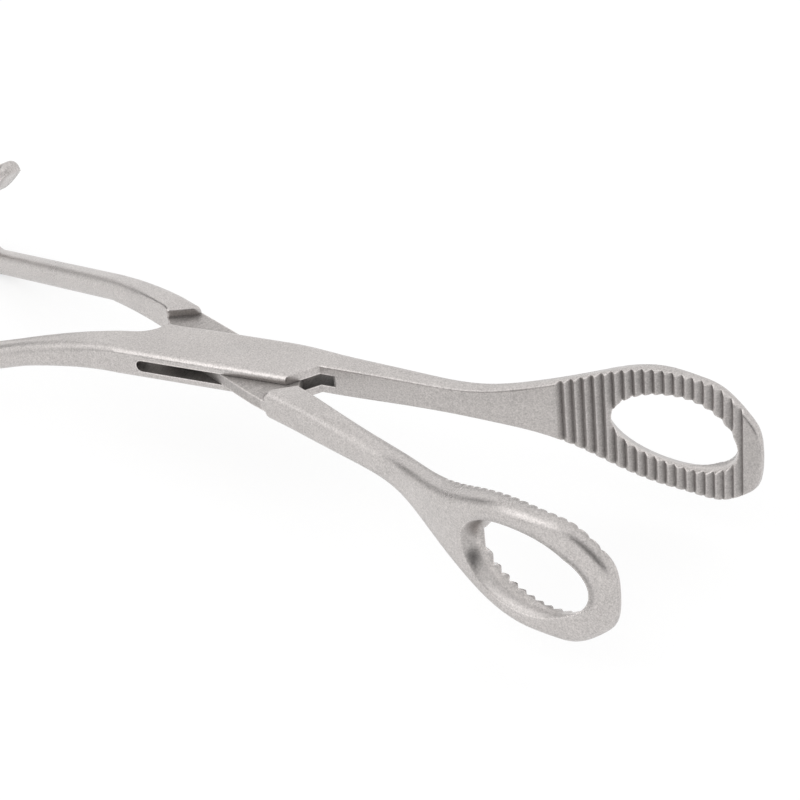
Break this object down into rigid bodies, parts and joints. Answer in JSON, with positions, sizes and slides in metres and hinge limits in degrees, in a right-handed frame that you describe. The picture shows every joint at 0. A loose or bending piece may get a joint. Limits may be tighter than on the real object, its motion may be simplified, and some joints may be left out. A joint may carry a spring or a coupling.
{
  "type": "plate holding forceps",
  "caption": "Long steel bone and plate holding forceps with ridged finger loops, a box joint and two slender jaws that end in hooked, toothed prongs.",
  "frame": {"origin": "where the joint's axis meets the upper flat face of the box joint", "axes": "+X along the middle line between the two handles, towards the finger loops; +Y towards the handle of the slotted arm; +Z along the joint's axis, out of the upper face, the side that the hooked prongs curl up to"},
  "size_m": [0.2301, 0.069, 0.0372],
  "materials": {
    "satin_steel": "satin, bead blasted",
    "pin_steel": "satin, ground flush"
  },
  "bodies": {
    "female_half": {"female_arm": "satin_steel", "pivot_pin": "pin_steel"},
    "male_half": {"male_arm": "satin_steel"}
  },
  "joints": [
    {"name": "box_joint", "type": "hinge", "parent": "female_half", "child": "male_half", "pos_m": [0, 0, -0.0035], "axis": [0, 0, -1], "range_deg": [-19, 32]}
  ]
}
